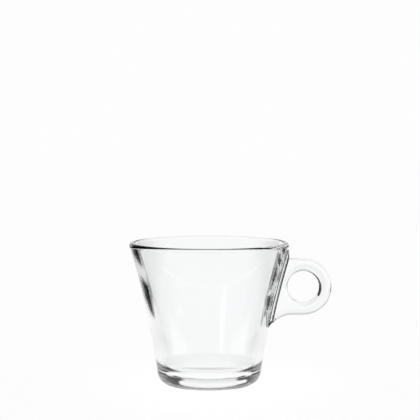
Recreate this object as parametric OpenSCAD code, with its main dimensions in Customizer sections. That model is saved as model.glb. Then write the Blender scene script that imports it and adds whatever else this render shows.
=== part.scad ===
// Clear glass cappuccino cup: a pressed bowl on a heavy base, with a flat ring handle fused to its wall.
// Millimetres. The cup's axis is Z, the table is z = 0, +Z is up and the handle points along +X.

/* [Bowl] */
// Outside diameter the wall's curve would have at the top of the lip
wall_top_d = 82; // [74:0.5:92]
// Outside diameter the wall's curve would have at the table
wall_base_d = 50.8; // [46:0.2:56]
// Height from the table to the top of the lip
cup_h = 72.4; // [64:0.2:80]
// How far the wall bows in from a straight cone at mid height
wall_bow = 1.7; // [1:0.1:3]
// Wall thickness, which is also the width of the round lip
wall_t = 3.3; // [2.4:0.1:4]

/* [Base] */
// Radius of the rounded corner all round the foot
foot_r = 7.4; // [6:0.2:9]
// Thickness of the glass floor
floor_t = 6.1; // [4:0.1:8]
// Radius of the curve from the inside wall to the floor
inner_r = 8; // [6:0.5:14]
// Diameter of the shallow hollow under the foot
hollow_d = 32; // [20:1:34]
// Depth of the hollow under the foot
hollow_h = 0.5; // [0.2:0.1:1.2]

/* [Handle] */
// Outside diameter of the ring
ring_d = 28.4; // [26:0.2:32]
// Diameter of the finger hole
hole_d = 16; // [14:0.2:18]
// Distance from the cup's axis to the ring's centre
ring_x = 47.5; // [46:0.25:50]
// Height of the ring's centre above the table
ring_z = 49.9; // [46:0.1:54]
// Thickness of the handle
plate_t = 7.6; // [6:0.2:10]
// Radius that rounds the handle's edges
edge_r = 2.4; // [1:0.1:2.8]
// Radius of the curve that carries the lower edge down the wall
flare_r = 14; // [12:0.5:18]
// Distance from the cup's axis to the start of that curve
flare_x = 42.3; // [40:0.1:45]

/* [Hidden] */
$fn = 96;

far = 120;
glass = [0.86, 0.93, 0.92, 0.35];

// Neighbouring arcs overlap by this much, so that they cross where they would only touch.
lap = 0.002;

// A value to the nearest thousandth, and a point the same way.
function snap(v) = round(v * 1000) / 1000;
function snap_point(p) = [snap(p.x), snap(p.y)];

// The wall is a band between two arcs with one centre, which lies outside the cup.
top_r = wall_top_d / 2;
base_r = wall_base_d / 2;
chord = norm([top_r - base_r, cup_h]);
out_r = snap((chord * chord / 4 + wall_bow * wall_bow) / (2 * wall_bow));
in_r = out_r + wall_t;
mid = [(top_r + base_r) / 2, cup_h / 2];
wall_c = snap_point(mid + [cup_h, base_r - top_r] / chord * (out_r - wall_bow));

// Centre at height z of a circle of radius r outside an arc of radius arc_r about wall_c.
function touching(arc_r, r, z) = snap_point([wall_c.x - sqrt(pow(arc_r + r, 2) - pow(wall_c.y - z, 2)), z]);

// The point on an arc of radius arc_r about wall_c that faces the point p.
function on_arc(arc_r, p) = snap_point(wall_c + (p - wall_c) / norm(p - wall_c) * arc_r);

lip_r = wall_t / 2;
lip_c = touching(out_r, lip_r, cup_h - lip_r - lap);
lip_slope = (wall_c.y - lip_c.y) / (wall_c.x - lip_c.x);
lip_0 = snap(lip_c.y - lip_slope * lip_c.x);
lip_far = snap(lip_0 + lip_slope * far);

foot_c = touching(out_r, foot_r, foot_r) + [lap, 0];
foot_end = on_arc(out_r, foot_c);
well_c = touching(in_r, inner_r, floor_t + inner_r) + [lap, 0];
well_end = on_arc(in_r, well_c);

hollow_r = snap((pow(hollow_d / 2, 2) + hollow_h * hollow_h) / (2 * hollow_h));

ring_r = ring_d / 2;
hole_r = hole_d / 2;
half_t = plate_t / 2;
land = half_t - edge_r;
flare_z = ring_z - ring_r - flare_r;
flare_w = ring_r * 1.3;

// Everything between the axis and an arc of radius arc_r about wall_c, between two heights.
module inside_arc(arc_r, z0, z1) {
  difference() {
    translate([0, z0]) square([far, z1 - z0]);
    translate(wall_c) circle(arc_r, $fn = 720);
  }
}

// Half of the cup's outside, filled to the axis: rounded foot, wall and round lip.
module outside_profile() {
  square([foot_c.x, foot_end.y + 1]);
  translate(foot_c) circle(foot_r);
  intersection() {
    inside_arc(out_r, foot_end.y, cup_h + 1);
    polygon([[0, 0], [far, 0], [far, lip_far], [0, lip_0]]);
  }
  translate(lip_c) circle(lip_r + lap);
}

// Half of the room inside the cup: flat floor, rounded well and inner wall.
module inside_profile() {
  translate([0, floor_t]) square([well_c.x, well_end.y + 1 - floor_t]);
  translate(well_c) circle(inner_r);
  inside_arc(in_r, well_end.y, cup_h + 1);
}

// Section across the handle, from 0 to w, with the two corners at w rounded.
module edge_section(w) {
  translate([0, -half_t]) square([w - edge_r, plate_t]);
  translate([w - edge_r, -land]) square([edge_r, 2 * land]);
  for (side = [0, 1]) mirror([0, side]) intersection() {
    translate([w - edge_r, land]) circle(edge_r);
    translate([w - edge_r, land]) square(edge_r + 1);
  }
}

// The outer half of the ring, round the far side of the finger hole.
module ring_half() {
  translate([ring_x, 0, ring_z]) rotate([90, 0, 0]) rotate([0, 0, -90])
    rotate_extrude(angle = 180) edge_section(ring_r);
}

// The straight top edge, from the ring to inside the wall.
module top_arm() {
  translate([ring_x, 0, ring_z]) rotate([0, -90, 0])
    linear_extrude(ring_x - base_r) edge_section(ring_r);
}

// The straight lower edge, from the ring to the start of the flare.
module lower_arm() {
  translate([flare_x, 0, ring_z]) rotate([0, 90, 0])
    linear_extrude(ring_x - flare_x) edge_section(ring_r);
}

// The curve that carries the lower edge down the wall.
module flare() {
  translate([flare_x, 0, flare_z]) rotate([90, 0, 0]) rotate([0, 0, 90])
    rotate_extrude(angle = 72) translate([flare_r + flare_w, 0]) mirror([1, 0]) edge_section(flare_w);
}

// The finger hole with its rounded edges, as the shape to take away.
module finger_hole() {
  translate([ring_x, 0, ring_z]) rotate([90, 0, 0]) rotate_extrude() {
    translate([0, -half_t - 1]) square([hole_r, plate_t + 2]);
    for (side = [0, 1]) mirror([0, side]) difference() {
      translate([0, land]) square([hole_r + edge_r, edge_r + 1]);
      translate([hole_r + edge_r, land]) circle(edge_r);
    }
  }
}

module bowl() {
  color(glass) rotate_extrude($fn = 180) difference() {
    outside_profile();
    inside_profile();
    translate([0, hollow_h - hollow_r]) circle(hollow_r, $fn = 720);
  }
}

module handle() {
  color(glass) difference() {
    union() {
      ring_half();
      top_arm();
      lower_arm();
      flare();
    }
    finger_hole();
    rotate_extrude($fn = 180) inside_arc(out_r, foot_end.y, cup_h);
  }
}

bowl();
handle();
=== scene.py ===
"""Looks of the clear glass cappuccino cup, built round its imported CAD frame."""

import math

import bpy
import numpy as np
from mathutils.geometry import delaunay_2d_cdt
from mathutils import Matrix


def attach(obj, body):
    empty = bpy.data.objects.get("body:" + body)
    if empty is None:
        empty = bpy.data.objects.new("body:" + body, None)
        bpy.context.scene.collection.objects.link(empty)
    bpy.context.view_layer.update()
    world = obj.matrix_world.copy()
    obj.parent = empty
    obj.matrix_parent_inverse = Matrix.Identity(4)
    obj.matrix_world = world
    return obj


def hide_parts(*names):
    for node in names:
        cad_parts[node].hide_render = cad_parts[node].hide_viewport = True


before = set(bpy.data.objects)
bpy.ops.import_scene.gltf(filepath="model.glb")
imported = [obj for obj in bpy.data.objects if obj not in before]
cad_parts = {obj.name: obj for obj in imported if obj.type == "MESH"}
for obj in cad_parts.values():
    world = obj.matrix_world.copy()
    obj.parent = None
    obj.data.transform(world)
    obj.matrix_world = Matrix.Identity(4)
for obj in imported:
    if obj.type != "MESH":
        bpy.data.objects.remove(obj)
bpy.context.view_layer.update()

MM = 0.001

# Bowl, in millimetres
WALL_TOP_R, WALL_BASE_R, CUP_H, WALL_BOW, WALL_T = 41.0, 25.4, 72.4, 1.7, 3.3
FOOT_R, FLOOR_T, INNER_R, HOLLOW_R, HOLLOW_H = 7.4, 6.1, 8.0, 16.0, 0.5
COLUMNS, REST_GAP = 256, 0.25

# Steps along each stretch of the bowl's section, from under the base to the floor of the well
HOLLOW_N, REST_N, FOOT_N, OUTER_N, LIP_N, INNER_N, WELL_N, FLOOR_N = 14, 6, 30, 112, 24, 100, 36, 10

# Handle, in millimetres
RING_R, HOLE_R, RING_X, RING_Z = 14.2, 8.0, 47.5, 49.9
HALF_T, EDGE_R, FLARE_R, FLARE_X = 3.8, 2.4, 14.0, 42.3
COLLAR_W, COLLAR_H, COLLAR_TOP, COLLAR_LOW, COLLAR_STEP, ROOT_R = 1.95, 1.1, 4.2, -0.5, 0.6, 0.5
LAND = HALF_T - EDGE_R
FLARE_Z = RING_Z - RING_R - FLARE_R

# Steps across the handle's edge, along its outline, round its hole and across its collar and root
EDGE_N, LAND_N, TOP_N, RING_N, LOW_N, FLARE_N, HOLE_N = 10, 4, 12, 96, 5, 28, 144
FACE_N, COLLAR_N, CREST_N, ROOT_N = 96, 10, 4, 8

# Where the handle's root is searched for, and the window in the wall round it
TOP_X0, FACE_X0, FACE_X1, FLAT_END, STEEP_END = 25, 20, 60, math.radians(95), math.radians(172)
HALVINGS, WINDOW_R, WINDOW_TILT, WINDOW_COLUMNS, WINDOW_CLEAR = 60, 33.0, 0.006, 3, 0.3

# Glass, with the scale and detail of each noise
GLASS_IOR = 1.5
GLASS_TINT, GLASS_CLEAR = (0.988, 0.995, 0.999, 1), (0.996, 0.999, 1.0, 1)
HAZE, HAZE_FROM, HAZE_TO, WAVE_SHARE, WAVE_H = 0.006, 0.45, 0.75, 0.05, 0.0002
TINT_NOISE, HAZE_NOISE, WAVE_NOISE = (35.0, 2.0), (220.0, 3.0), (70.0, 1.0)

# Camera, in pixels, millimetres and degrees
FOCAL_PX, FRAME_PX, SENSOR, CLIP_START, CLIP_END = 1489.5, 420, 36.0, 0.01, 50
CAM_X, CAM_Y, CAM_Z, CAM_PITCH = 0.42, -750, 137.4, 3.72

# Table and room as the camera sees them
WHITE = (1, 1, 1, 1)
TABLE_HALF, TABLE_Z, TABLE_ROUGH = 3.0, -0.00005, 0.9
TABLE_WHITE, TABLE_GLOW = (0.97, 0.97, 0.97, 1), 0.785
ROOM_LEVEL, CAMERA_MORE = 0.2, 0.785

# Table as rays from the glass see it, in metres, with painted dark reflections and painted shade that the
# camera never sees. Steps are from, to and the levels there.
# Spans are from, to and softness. Cards are level, then from and to across and towards the back.
# Fans are a start beside the axis, then from and to in degrees and softness.
DARK, FAR, CARD_SOFT, SIDE_SHADE_SOFT = 0.012, 9.0, 0.008, 0.03
FRONT_MIRRORED, FRONT_PASSED = (-0.17, -0.11, 0.05, 1.0), (-1.6, -0.25, 0.35, 1.0)
SIDE_FADE = (0.070, 0.105, 1.0, 0.91)
# Painted shade: a grey card on the table beside and behind the cup's foot, as the glass sees it
SIDE_SHADE_CARD = (0.88, 0.045, 0.100, -0.020, 0.135)
# Painted shadow: the table round the cup's foot, as the glass sees it, is dimmed to this level over this span
# from the axis
CUP_SHADOW_LEVEL, CUP_SHADOW_SPAN = 0.93, (0.030, 0.085, 0.02)
LEFT_FAN, LEFT_FAN_BACK = (0.0, 24, 57, 8), (0.215, FAR, 0.02)
LEFT_STRIP = (0.75, 0.138, 0.170, 0.050, 0.290)
LEFT_NEAR = (DARK, 0.111, 0.152, 0.068, 0.212)
LEFT_FAR = (DARK, 0.170, 0.340, 0.105, 0.330)
RIGHT_FAN, RIGHT_FAN_BACK = (0.046, 23, 72, 4), (0.074, FAR, 0.008)
RIGHT_FAN_SIDE = (0.112, FAR, 0.008)

# Room as rays from the glass see it: level, from and to in turn, from and to in rise, softness
SKY = (52.0, 60.0, 0.30, 1.10)
DARK_SIDES = (0.03, 24, 98, -10, 56, 4)
OVERHEAD = (1.05, -42, 42, 47, 95, 4)
LOW_BACKDROP = (0.97, -35, 25, -10, 12, 4)
BACKDROP_FADE, BACKDROP = (4.0, 36.0, 0.97, 0.42), (-24, 22, -10, 50, 6)
LOW_SIDES = (0.95, 78, 125, -10, 8, 4)
STREAK = (1.10, -156, -144, 2, 19, 4)

# Render
BOUNCES, CLEAR_BOUNCES = 9, 24

# The wall's two arcs share one centre, outside the cup
CHORD = math.hypot(WALL_TOP_R - WALL_BASE_R, CUP_H)
OUT_R = (CHORD ** 2 / 4 + WALL_BOW ** 2) / (2 * WALL_BOW)
IN_R = OUT_R + WALL_T
ARC_R = (WALL_TOP_R + WALL_BASE_R) / 2 + CUP_H / CHORD * (OUT_R - WALL_BOW)
ARC_Z = CUP_H / 2 - (WALL_TOP_R - WALL_BASE_R) / CHORD * (OUT_R - WALL_BOW)


def touching(arc, r, z):
    """Centre at height z of a circle of radius r outside an arc about the wall's centre."""
    return np.array([ARC_R - math.sqrt((arc + r) ** 2 - (ARC_Z - z) ** 2), z])


def arc_points(centre, radius, start, end, n, sign):
    """Points along an arc in the (r, z) half plane, with normals away from the centre times sign."""
    a = np.linspace(start, end, n + 1)
    d = np.stack([np.cos(a), np.sin(a)], 1)
    return np.hstack([centre + radius * d, sign * d])


def line_points(p, q, normal, n):
    """Points along a straight stretch of the profile, all with one normal."""
    t = np.linspace(0, 1, n + 1)[:, None]
    return np.hstack([np.array(p) * (1 - t) + np.array(q) * t, np.tile(normal, (n + 1, 1))])


def bowl_profile():
    """The bowl's section from under its base, over the lip, to its floor, and the outer wall's rows."""
    centre = np.array([ARC_R, ARC_Z])
    lip_r = WALL_T / 2
    lip = touching(OUT_R, lip_r, CUP_H - lip_r)
    foot = touching(OUT_R, FOOT_R, FOOT_R)
    well = touching(IN_R, INNER_R, FLOOR_T + INNER_R)

    def bearing(p):
        return math.atan2(p[1] - centre[1], p[0] - centre[0]) % (2 * math.pi)

    hollow = (HOLLOW_R ** 2 + HOLLOW_H ** 2) / (2 * HOLLOW_H)
    spread = math.asin(HOLLOW_R / hollow)
    parts = [
        arc_points(np.array([0, HOLLOW_H - hollow]), hollow, math.pi / 2, math.pi / 2 - spread, HOLLOW_N, -1),
        line_points((HOLLOW_R + REST_GAP, 0), (foot[0], 0), (0, -1), REST_N),
        arc_points(foot, FOOT_R, -math.pi / 2, bearing(foot) - math.pi, FOOT_N, 1)[1:],
        arc_points(centre, OUT_R, bearing(foot), bearing(lip), OUTER_N, -1)[1:],
        arc_points(lip, lip_r, bearing(lip) - math.pi, bearing(lip), LIP_N, 1)[1:],
        arc_points(centre, IN_R, bearing(lip), bearing(well), INNER_N, 1)[1:],
        arc_points(well, INNER_R, bearing(well) - math.pi, -math.pi / 2, WELL_N, -1)[1:],
        line_points((well[0], FLOOR_T), (0, FLOOR_T), (0, 1), FLOOR_N)[1:],
    ]
    first = sum(len(p) for p in parts[:3]) - 1
    return np.vstack(parts), first, first + OUTER_N


def wall_gap(p):
    """Distance of points outside the bowl's outer wall."""
    return OUT_R - np.hypot(np.hypot(p[..., 0], p[..., 1]) - ARC_R, p[..., 2] - ARC_Z)


def wall_foot(p):
    """The nearest points of the outer wall, as (azimuth, bearing about the arc's centre)."""
    r = np.hypot(p[..., 0], p[..., 1])
    return np.arctan2(p[..., 1], p[..., 0]), np.arctan2(p[..., 2] - ARC_Z, r - ARC_R) % (2 * math.pi)


def on_wall(azimuth, bearing):
    """Points of the outer wall and their outward normals."""
    r, z = ARC_R + OUT_R * np.cos(bearing), ARC_Z + OUT_R * np.sin(bearing)
    point = np.stack([r * np.cos(azimuth), r * np.sin(azimuth), z], -1)
    out = -np.cos(bearing)
    normal = np.stack([out * np.cos(azimuth), out * np.sin(azimuth), -np.sin(bearing)], -1)
    return point, normal


def in_loop(points, loop):
    """Which of the points in the plane lie inside the closed loop."""
    a, b = loop, np.roll(loop, -1, 0)
    x, y = points[:, 0, None], points[:, 1, None]
    cross = (a[:, 1] > y) != (b[:, 1] > y)
    rise = np.where(b[:, 1] == a[:, 1], 1, b[:, 1] - a[:, 1])
    left = x < a[:, 0] + (y - a[:, 1]) * (b[:, 0] - a[:, 0]) / rise
    return (cross & left).sum(1) % 2 == 1


def triangles(points, loops):
    """Triangles over points in the plane that keep the edges of the loops, turning left."""
    edges = [(int(l[i]), int(l[(i + 1) % len(l)])) for l in loops for i in range(len(l))]
    _, _, faces, origin, _, _ = delaunay_2d_cdt([tuple(p) for p in points], edges, [], 0, 1e-7)
    tri = np.array([[origin[v][0] for v in f] for f in faces])
    a, b, c = points[tri[:, 0]], points[tri[:, 1]], points[tri[:, 2]]
    turn = (b[:, 0] - a[:, 0]) * (c[:, 1] - a[:, 1]) - (b[:, 1] - a[:, 1]) * (c[:, 0] - a[:, 0])
    tri[turn < 0] = tri[turn < 0][:, ::-1]
    return tri[np.abs(turn) > 1e-9]


def slerp(p, q, n):
    """n + 1 unit vectors from p to q along the great circle."""
    dot = np.clip((p * q).sum(-1), -1, 1)
    w = np.arccos(dot)[..., None]
    t = np.linspace(0, 1, n + 1)[:, None, None]
    straight = p[None] * (1 - t) + q[None] * t
    bent = (np.sin((1 - t) * w) * p + np.sin(t * w) * q) / np.maximum(np.sin(w), 1e-9)
    return np.where(w < 1e-6, straight, bent)


class Shell:
    """Points, normals and faces gathered for one closed mesh."""

    def __init__(self):
        self.points, self.normals, self.faces, self.slots = [], [], [], []

    def add(self, points, normals):
        start = sum(len(p) for p in self.points)
        self.points.append(np.asarray(points, float).reshape(-1, 3))
        self.normals.append(np.asarray(normals, float).reshape(-1, 3))
        return start + np.arange(len(self.points[-1]))

    def grid(self, index, flip=False, slot=0):
        """Quads over a grid of point numbers."""
        a, b, c, d = index[:-1, :-1], index[1:, :-1], index[1:, 1:], index[:-1, 1:]
        q = np.stack([a, b, c, d], -1).reshape(-1, 4)
        self.add_faces(q[:, ::-1] if flip else q, slot)

    def add_faces(self, faces, slot=0):
        self.faces += [tuple(int(v) for v in f) for f in faces]
        self.slots += [slot] * len(faces)

    def build(self, name, materials):
        points, normals = np.vstack(self.points), np.vstack(self.normals)
        mesh = bpy.data.meshes.new(name)
        mesh.from_pydata([tuple(p) for p in points * MM], [], self.faces)
        for m in materials:
            mesh.materials.append(m)
        mesh.polygons.foreach_set("material_index", self.slots)
        mesh.polygons.foreach_set("use_smooth", [True] * len(self.faces))
        mesh.update()
        mesh.validate()
        mesh.normals_split_custom_set_from_vertices([tuple(n / np.linalg.norm(n)) for n in normals])
        obj = bpy.data.objects.new(name, mesh)
        bpy.context.scene.collection.objects.link(obj)
        return obj


def handle_sections():
    """Section across the handle's edge, front to back: depth, y, and the normal's shares out and in y."""
    a = np.linspace(math.pi / 2, 0, EDGE_N + 1)
    front = np.stack([EDGE_R * (1 - np.cos(a)), -LAND - EDGE_R * np.sin(a), np.cos(a), -np.sin(a)], 1)
    y = np.linspace(-LAND, LAND, LAND_N + 1)[1:-1]
    flat = np.stack([0 * y, y, 0 * y + 1, 0 * y], 1)
    back = front[::-1] * (1, -1, 1, -1)
    return np.vstack([front, flat, back])


def solve(f, low, high):
    """Where f changes sign between low and high, for a whole array at once."""
    low, high = np.array(low, float), np.array(high, float)
    up = f(high) > 0
    for _ in range(HALVINGS):
        mid = (low + high) / 2
        same = (f(mid) > 0) == up
        high, low = np.where(same, mid, high), np.where(same, low, mid)
    return (low + high) / 2


def top_edge(x, s):
    x = np.broadcast_to(x, np.broadcast_shapes(np.shape(x), s[:, 0].shape))
    p = np.stack([x, s[:, 1] + 0 * x, RING_Z + RING_R - s[:, 0] + 0 * x], -1)
    return p, np.stack([0 * x, s[:, 3] + 0 * x, s[:, 2] + 0 * x], -1)


def low_edge(x, s):
    p, n = top_edge(x, s)
    return p * (1, 1, -1) + (0, 0, 2 * RING_Z), n * (1, 1, -1)


def ring_edge(b, s):
    r = RING_R - s[:, 0]
    p = np.stack([RING_X + r * np.cos(b), s[:, 1] + 0 * b, RING_Z + r * np.sin(b)], -1)
    return p, np.stack([np.cos(b) * s[:, 2], s[:, 3] + 0 * b, np.sin(b) * s[:, 2]], -1)


def flare_edge(b, s):
    r = FLARE_R + s[:, 0]
    p = np.stack([FLARE_X + r * np.cos(b), s[:, 1] + 0 * b, FLARE_Z + r * np.sin(b)], -1)
    return p, np.stack([-np.cos(b) * s[:, 2], s[:, 3] + 0 * b, -np.sin(b) * s[:, 2]], -1)


def hole_edge(b, s):
    r = HOLE_R + s[:, 0]
    p = np.stack([RING_X + r * np.cos(b), s[:, 1] + 0 * b, RING_Z + r * np.sin(b)], -1)
    return p, np.stack([-np.cos(b) * s[:, 2], s[:, 3] + 0 * b, -np.sin(b) * s[:, 2]], -1)


def collar_height(normal):
    """How far the collar stands out from the handle's faces, its top edge and its lower edge."""
    edge = np.where(normal[..., 2:] > 0, COLLAR_TOP, COLLAR_LOW)
    return COLLAR_H + (edge - COLLAR_H) * (1 - normal[..., 1:2] ** 2)


def collar_start(edge, s, low, high):
    """Where along an edge the collar starts, at its own width from the wall."""
    return solve(lambda t: wall_gap(edge(t, s)[0]) - COLLAR_W, low + 0 * s[:, 0], high + 0 * s[:, 0])


def collar_end(edge, s, low, high):
    """Where along an edge a ball of the root's radius rests on both the collar and the wall."""
    def f(t):
        p, n = edge(t, s)
        return wall_gap(p + (collar_height(n) + ROOT_R) * n) - ROOT_R
    return solve(f, low + 0 * s[:, 0], high + 0 * s[:, 0])


def grid_normals(points):
    """Normals of a grid of points that closes on itself along each row."""
    down = np.gradient(points, axis=0)
    along = np.roll(points, -1, 1) - np.roll(points, 1, 1)
    n = np.cross(along, down)
    return n / np.linalg.norm(n, axis=-1, keepdims=True)


def make_handle():
    """The handle without its face on the wall.

    Gives the shell, the point numbers of the loop where it meets the wall, and that loop's places there.
    """
    shell = Shell()
    s = handle_sections()
    across = len(s)
    one = np.ones(across)

    def lay(rows):
        """Adds rows of points across the edge to the shell, and gives their numbers."""
        points, normals = [np.array([r[i] for r in rows]) for i in (0, 1)]
        return shell.add(points, normals).reshape(len(rows), across)

    x_top, x_in = [find(top_edge, s, TOP_X0, RING_X) for find in (collar_start, collar_end)]
    b_low, b_in = [find(flare_edge, s, STEEP_END, FLAT_END) for find in (collar_start, collar_end)]
    rows = []
    for t in np.linspace(0, 1, TOP_N + 1):
        rows.append(top_edge(x_top * (1 - t) + RING_X * t, s))
    for b in np.linspace(math.pi / 2, -math.pi / 2, RING_N + 1)[1:]:
        rows.append(ring_edge(b * one, s))
    for t in np.linspace(0, 1, LOW_N + 1)[1:]:
        rows.append(low_edge((RING_X * (1 - t) + FLARE_X * t) * one, s))
    for t in np.linspace(0, 1, FLARE_N + 1)[1:]:
        rows.append(flare_edge(math.pi / 2 * (1 - t) + b_low * t, s))
    strip = lay(rows)
    shell.grid(strip)
    hole = lay([hole_edge(b * one, s) for b in np.linspace(0, 2 * math.pi, HOLE_N, endpoint=False)])
    shell.grid(np.vstack([hole, hole[:1]]))

    # Where the collar starts and ends along the two faces
    share = np.linspace(0, 1, FACE_N + 1)[1:-1]
    spans = []
    for end, (low, lift) in enumerate(((b_low, 0.0), (b_in, COLLAR_H + ROOT_R))):
        z_top, z_low = top_edge(x_top, s)[0][-1][2], flare_edge(low, s)[0][-1][2]
        z = z_top * (1 - share) + z_low * share
        y, gap = HALF_T + lift, ROOT_R if end else COLLAR_W
        spare = lambda x: wall_gap(np.stack([x, y + 0 * x, z], -1)) - gap
        spans.append((solve(spare, FACE_X0 + 0 * z, FACE_X1 + 0 * z), z))
    (x_start, z_start), (x_end, z_end) = spans

    def face(y, f):
        """One face's places a share f of the way across the collar, and their normals."""
        x, z = x_start * (1 - f) + x_end * f, z_start * (1 - f) + z_end * f
        return np.stack([x, y * HALF_T + 0 * x, z], -1), np.tile([0.0, y, 0.0], (len(z), 1))

    def ring_of(f):
        """The whole way round the handle a share f of the way across the collar."""
        top, low = top_edge(x_top * (1 - f) + x_in * f, s), flare_edge(b_low * (1 - f) + b_in * f, s)
        front, rear = face(-1, f), face(1, f)
        places = [np.concatenate([top[i], rear[i], low[i][::-1], front[i][::-1]]) for i in (0, 1)]
        step = min(f / COLLAR_STEP, 1)
        rise = step * step * (3 - 2 * step)
        return places[0] + rise * collar_height(places[1]) * places[1], places[1]

    start = {y: shell.add(*face(y, 0)) for y in (-1, 1)}
    base = np.concatenate([strip[0], start[1], strip[-1][::-1], start[-1][::-1]])
    climb, crest = np.linspace(0, COLLAR_STEP, COLLAR_N + 1), np.linspace(COLLAR_STEP, 1, CREST_N + 1)
    shares = np.concatenate([climb, crest[1:]])
    collar = np.array([ring_of(f)[0] for f in shares])
    normals = ring_of(1)[1]
    turned = grid_normals(collar)
    turned[-1] = normals
    ball = collar[-1] + ROOT_R * normals
    azimuth, bearing = wall_foot(ball)
    feet, out = on_wall(azimuth, bearing)
    fan = slerp(-normals, -out, ROOT_N)
    curve = ball + ROOT_R * fan
    curve[-1] = feet
    curve = np.concatenate([collar, curve[1:]])
    turned = np.concatenate([turned, -fan[1:]])
    count = len(curve) - 1
    index = np.vstack([base[None], shell.add(curve[1:], turned[1:]).reshape(count, -1)])
    shell.grid(np.hstack([index, index[:, :1]]), flip=True)

    # The two flat faces
    for y, column, side in ((-1, 0, start[-1]), (1, across - 1, start[1])):
        outer = np.concatenate([strip[:, column], side[::-1]])
        inner = hole[:, column]
        numbers = np.concatenate([outer, inner])
        flat = np.vstack(shell.points)[numbers][:, [0, 2]]
        n = len(outer)
        tri = triangles(flat, [np.arange(n), n + np.arange(HOLE_N)])
        mid = flat[tri].mean(1)
        tri = tri[in_loop(mid, flat[:n]) & ~in_loop(mid, flat[n:])]
        shell.add_faces(numbers[tri if y < 0 else tri[:, ::-1]])
    return shell, index[-1], azimuth, bearing


def make_bowl(azimuth, bearing):
    """The bowl with the handle's outline cut into its wall.

    Gives the shell, the triangles of the patch inside the outline, and the outline's point numbers.
    """
    profile, first, last = bowl_profile()
    shell = Shell()
    phi = np.arange(COLUMNS) * 2 * math.pi / COLUMNS
    body = profile[1:-1]
    r, z, nr, nz = body.T
    ring = np.stack([np.outer(r, np.cos(phi)), np.outer(r, np.sin(phi)), np.outer(z, 0 * phi + 1)], -1)
    turned = np.stack([np.outer(nr, np.cos(phi)), np.outer(nr, np.sin(phi)), np.outer(nz, 0 * phi + 1)], -1)
    index = shell.add(ring, turned).reshape(len(body), COLUMNS)
    poles = shell.add([(0, 0, profile[0][1]), (0, 0, profile[-1][1])], [(0, 0, -1), (0, 0, 1)])
    wrapped = np.hstack([index, index[:, :1]])
    for k in range(COLUMNS):
        shell.add_faces([(poles[0], wrapped[0, k + 1], wrapped[0, k])])
        shell.add_faces([(poles[1], wrapped[-1, k], wrapped[-1, k + 1])])

    # Rows and columns of the window round the handle's root
    rows = np.arange(first - 1, last)
    tilt = np.arctan2(z[rows] - ARC_Z, r[rows] - ARC_R) % (2 * math.pi)
    keep = np.where((tilt > bearing.min() - WINDOW_TILT) & (tilt < bearing.max() + WINDOW_TILT))[0]
    low, high = rows[keep.min()], rows[keep.max()]
    half = int(math.ceil(np.abs(azimuth).max() / (2 * math.pi / COLUMNS))) + WINDOW_COLUMNS
    columns = np.arange(-half, half + 1)
    full = np.zeros((len(body) - 1, COLUMNS), bool)
    full[low:high, columns[:-1] % COLUMNS] = True
    a, b, c, d = wrapped[:-1, :-1], wrapped[:-1, 1:], wrapped[1:, 1:], wrapped[1:, :-1]
    shell.add_faces(np.stack([a, b, c, d], -1)[~full])

    # The window itself, triangulated so that the outline's edges are kept
    window = index[low:high + 1][:, columns % COLUMNS]
    u = np.tile(columns * 2 * math.pi / COLUMNS * WINDOW_R, (high - low + 1, 1))
    tilts = np.arctan2(z[low:high + 1] - ARC_Z, r[low:high + 1] - ARC_R) % (2 * math.pi)
    v = np.tile(-tilts[:, None] * OUT_R, (1, len(columns)))
    places = np.stack([u, v], -1)
    loop = np.stack([azimuth * WINDOW_R, -bearing * OUT_R], -1)
    near = np.min(np.linalg.norm(places[:, :, None] - loop[None, None], axis=-1), -1) < WINDOW_CLEAR
    near[0], near[-1], near[:, 0], near[:, -1] = False, False, False, False
    grid_places, grid_numbers = places[~near], window[~near]
    wall_points, wall_normals = on_wall(azimuth, bearing)
    loop_numbers = shell.add(wall_points, wall_normals)
    flat = np.vstack([loop, grid_places])
    numbers = np.concatenate([loop_numbers, grid_numbers])
    tri = triangles(flat, [np.arange(len(loop))])
    inside = in_loop(flat[tri].mean(1), loop)
    shell.add_faces(numbers[tri[~inside]])
    shell.add_faces(numbers[tri[inside]], 1)
    return shell, numbers[tri[inside]], loop_numbers


class Nodes:
    """Short hand for building one node tree."""

    def __init__(self, tree):
        self.tree = tree

    def make(self, kind, **settings):
        n = self.tree.nodes.new(kind)
        for k, v in settings.items():
            setattr(n, k, v)
        return n

    def put(self, socket, value):
        if isinstance(value, bpy.types.NodeSocket):
            self.tree.links.new(value, socket)
        else:
            socket.default_value = value

    def math(self, operation, *values):
        n = self.make("ShaderNodeMath", operation=operation)
        for socket, v in zip(n.inputs, values):
            self.put(socket, v)
        return n.outputs[0]

    def step(self, value, low, high, at_low, at_high):
        """A soft step from at_low to at_high as value goes from low to high."""
        n = self.make("ShaderNodeMapRange", interpolation_type="SMOOTHSTEP")
        names = ("Value", "From Min", "From Max", "To Min", "To Max")
        for name, v in zip(names, (value, low, high, at_low, at_high)):
            self.put(n.inputs[name], v)
        return n.outputs["Result"]

    def between(self, value, low, high, soft):
        """1 where value lies between low and high, else 0, with soft ends."""
        rising = self.step(value, low - soft / 2, low + soft / 2, 0.0, 1.0)
        falling = self.step(value, high - soft / 2, high + soft / 2, 1.0, 0.0)
        return self.math("MULTIPLY", rising, falling)

    def cover(self, seen, level, mask):
        """Lays a panel of one level over what was seen before."""
        return self.math("MULTIPLY_ADD", mask, self.math("SUBTRACT", level, seen), seen)

    def by_glass(self):
        """1 for rays that come from the glass."""
        path = self.make("ShaderNodeLightPath")
        return self.math("MAXIMUM", path.outputs["Is Glossy Ray"], path.outputs["Is Transmission Ray"])


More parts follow.
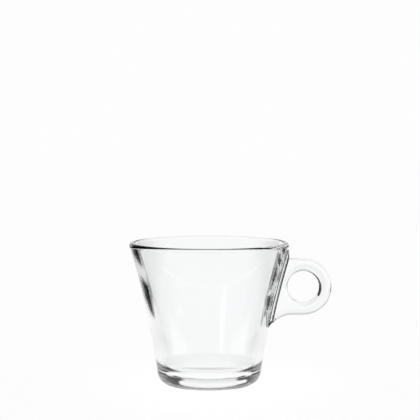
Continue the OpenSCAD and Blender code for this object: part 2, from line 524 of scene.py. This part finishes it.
def glass_material():
    """Clear pressed glass: faint mould waves, a breath of haze and a hint of cold tint, from noise."""
    m = bpy.data.materials.new("clear_glass")
    m.use_nodes = True
    k = Nodes(m.node_tree)
    p = m.node_tree.nodes["Principled BSDF"]
    p.inputs["IOR"].default_value = GLASS_IOR
    p.inputs["Transmission Weight"].default_value = 1.0
    place = k.make("ShaderNodeTexCoord").outputs["Object"]

    def noise(scale, detail):
        n = k.make("ShaderNodeTexNoise")
        k.put(n.inputs["Vector"], place)
        k.put(n.inputs["Scale"], scale)
        k.put(n.inputs["Detail"], detail)
        return n.outputs["Fac"]

    tint = k.make("ShaderNodeMix", data_type="RGBA")
    k.put(tint.inputs["Factor"], noise(*TINT_NOISE))
    k.put(tint.inputs["A"], GLASS_TINT)
    k.put(tint.inputs["B"], GLASS_CLEAR)
    k.put(p.inputs["Base Color"], tint.outputs["Result"])
    k.put(p.inputs["Roughness"], k.step(noise(*HAZE_NOISE), HAZE_FROM, HAZE_TO, 0.0, HAZE))
    bump = k.make("ShaderNodeBump")
    bump.inputs["Strength"].default_value = WAVE_SHARE
    bump.inputs["Distance"].default_value = WAVE_H
    k.put(bump.inputs["Height"], noise(*WAVE_NOISE))
    k.put(p.inputs["Normal"], bump.outputs[0])
    return m


def joint_material():
    """Nothing to see: the patch where the handle and the bowl are one glass."""
    m = bpy.data.materials.new("glass_joint")
    m.use_nodes = True
    nodes, links = m.node_tree.nodes, m.node_tree.links
    nodes.clear()
    t = nodes.new("ShaderNodeBsdfTransparent")
    o = nodes.new("ShaderNodeOutputMaterial")
    links.new(t.outputs[0], o.inputs["Surface"])
    return m


def make_cup():
    glass, joint = glass_material(), joint_material()
    handle, loop, azimuth, bearing = make_handle()
    bowl, patch, loop_numbers = make_bowl(azimuth, bearing)
    # The handle's face on the wall is the bowl's patch, turned over
    points, normals = np.vstack(bowl.points), np.vstack(bowl.normals)
    used = [n for n in np.unique(patch) if n not in set(loop_numbers.tolist())]
    renumber = dict(zip(loop_numbers.tolist(), loop.tolist()))
    if used:
        renumber.update(zip(used, handle.add(points[used], normals[used]).tolist()))
    handle.add_faces([[renumber[int(v)] for v in t[::-1]] for t in patch], 1)
    bowl_obj = bowl.build("bowl_glass", [glass, joint])
    handle_obj = handle.build("handle_glass", [glass, joint])
    for obj, node in ((bowl_obj, "bowl"), (handle_obj, "handle")):
        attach(obj, "root")
        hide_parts(node)


def make_camera():
    data = bpy.data.cameras.new("camera")
    data.sensor_width = SENSOR
    data.lens = FOCAL_PX / FRAME_PX * SENSOR
    data.clip_start = CLIP_START
    data.clip_end = CLIP_END
    cam = bpy.data.objects.new("camera", data)
    cam.location = (CAM_X * MM, CAM_Y * MM, CAM_Z * MM)
    cam.rotation_euler = (math.radians(90 - CAM_PITCH), 0, 0)
    bpy.context.scene.collection.objects.link(cam)
    bpy.context.scene.camera = cam


def make_floor():
    """A white table. Rays from the glass see dark cards on it, some of them inside the picture.

    The camera is never shown those cards: they paint dark reflections into the glass, and the grey round the
    cup's foot is painted shade.
    """
    mesh = bpy.data.meshes.new("floor")
    h, z = TABLE_HALF, TABLE_Z
    mesh.from_pydata([(-h, -h, z), (h, -h, z), (h, h, z), (-h, h, z)], [], [(0, 1, 2, 3)])
    m = bpy.data.materials.new("floor_white")
    m.use_nodes = True
    k = Nodes(m.node_tree)
    p = m.node_tree.nodes["Principled BSDF"]
    p.inputs["Base Color"].default_value = TABLE_WHITE
    p.inputs["Roughness"].default_value = TABLE_ROUGH
    p.inputs["Specular IOR Level"].default_value = 0.0
    p.inputs["Emission Color"].default_value = WHITE
    p.inputs["Emission Strength"].default_value = TABLE_GLOW
    split = k.make("ShaderNodeSeparateXYZ")
    place = k.make("ShaderNodeTexCoord").outputs["Object"]
    k.put(split.inputs[0], place)
    right, back = split.outputs[0], split.outputs[1]
    left = k.math("MULTIPLY", right, -1.0)

    def card(seen, across, level, x0, x1, y0, y1, soft=CARD_SOFT):
        """A card of one level on the table."""
        mask = k.math("MULTIPLY", k.between(across, x0, x1, soft), k.between(back, y0, y1, soft))
        return k.cover(seen, level, mask)

    def spread(across, start, turn_0, turn_1, soft):
        """1 between two turns about a place beside the cup's axis, else 0."""
        turn = k.math("DEGREES", k.math("ARCTAN2", k.math("SUBTRACT", across, start), back))
        return k.between(turn, turn_0, turn_1, soft)

    reach = k.make("ShaderNodeVectorMath", operation="LENGTH")
    k.put(reach.inputs[0], place)
    side = k.math("ABSOLUTE", right)
    passed = k.make("ShaderNodeLightPath").outputs["Is Transmission Ray"]
    # Painted dark reflection: the front of the table darkens for rays from the glass alone
    front = k.cover(k.step(back, *FRONT_MIRRORED), k.step(back, *FRONT_PASSED), passed)
    seen = k.math("MULTIPLY", front, k.step(side, *SIDE_FADE))
    # Painted shade beside the cup's foot, seen only from the glass
    seen = card(seen, side, *SIDE_SHADE_CARD, SIDE_SHADE_SOFT)
    # Painted contact shadow round the cup's foot, seen only from the glass
    seen = k.cover(seen, CUP_SHADOW_LEVEL, k.between(reach.outputs["Value"], *CUP_SHADOW_SPAN))
    # Dark cards for rays from the glass alone: painted dark reflections and refractions
    far = k.math("MULTIPLY", spread(left, *LEFT_FAN), k.between(back, *LEFT_FAN_BACK))
    seen = k.cover(seen, DARK, far)
    for spot in (LEFT_STRIP, LEFT_NEAR, LEFT_FAR):
        seen = card(seen, left, *spot)
    far = k.math("MULTIPLY", spread(right, *RIGHT_FAN), k.between(back, *RIGHT_FAN_BACK))
    seen = k.cover(seen, DARK, k.math("MULTIPLY", far, k.between(right, *RIGHT_FAN_SIDE)))
    light = k.make("ShaderNodeEmission")
    k.put(light.inputs["Strength"], seen)
    mix = k.make("ShaderNodeMixShader")
    k.put(mix.inputs[0], k.by_glass())
    k.put(mix.inputs[1], p.outputs[0])
    k.put(mix.inputs[2], light.outputs[0])
    k.put(m.node_tree.nodes["Material Output"].inputs["Surface"], mix.outputs[0])
    mesh.materials.append(m)
    floor = bpy.data.objects.new("floor", mesh)
    bpy.context.scene.collection.objects.link(floor)


def make_world():
    """A white room for the camera and the floor. Rays from the glass see panels, light and dark."""
    w = bpy.data.worlds.new("studio")
    bpy.context.scene.world = w
    w.use_nodes = True
    k = Nodes(w.node_tree)
    background = w.node_tree.nodes["Background"]
    split = k.make("ShaderNodeSeparateXYZ")
    k.put(split.inputs[0], k.make("ShaderNodeTexCoord").outputs["Generated"])
    x, y, z = split.outputs
    turn = k.math("DEGREES", k.math("ARCTAN2", x, y))
    aside = k.math("ABSOLUTE", turn)
    rise = k.math("DEGREES", k.math("ARCSINE", z))

    def panel(seen, level, turn_0, turn_1, rise_0, rise_1, soft, bearing=aside):
        """A panel between two turns from straight behind the cup and between two rises, in degrees."""
        across, up = k.between(bearing, turn_0, turn_1, soft), k.between(rise, rise_0, rise_1, soft)
        return k.cover(seen, level, k.math("MULTIPLY", across, up))

    seen = k.step(rise, *SKY)
    seen = panel(seen, *DARK_SIDES)
    seen = panel(seen, *OVERHEAD, turn)
    seen = panel(seen, *LOW_BACKDROP, turn)
    seen = panel(seen, k.step(rise, *BACKDROP_FADE), *BACKDROP, turn)
    seen = panel(seen, *LOW_SIDES)
    seen = panel(seen, *STREAK, turn)
    camera = k.make("ShaderNodeLightPath").outputs["Is Camera Ray"]
    plain = k.math("MULTIPLY_ADD", camera, CAMERA_MORE, ROOM_LEVEL)
    k.put(background.inputs["Color"], WHITE)
    k.put(background.inputs["Strength"], k.cover(plain, seen, k.by_glass()))


make_cup()
make_camera()
make_floor()
make_world()
scene = bpy.context.scene
scene.view_settings.view_transform = "Standard"
scene.cycles.max_bounces = BOUNCES
scene.cycles.transmission_bounces = BOUNCES
scene.cycles.glossy_bounces = BOUNCES
scene.cycles.transparent_max_bounces = CLEAR_BOUNCES
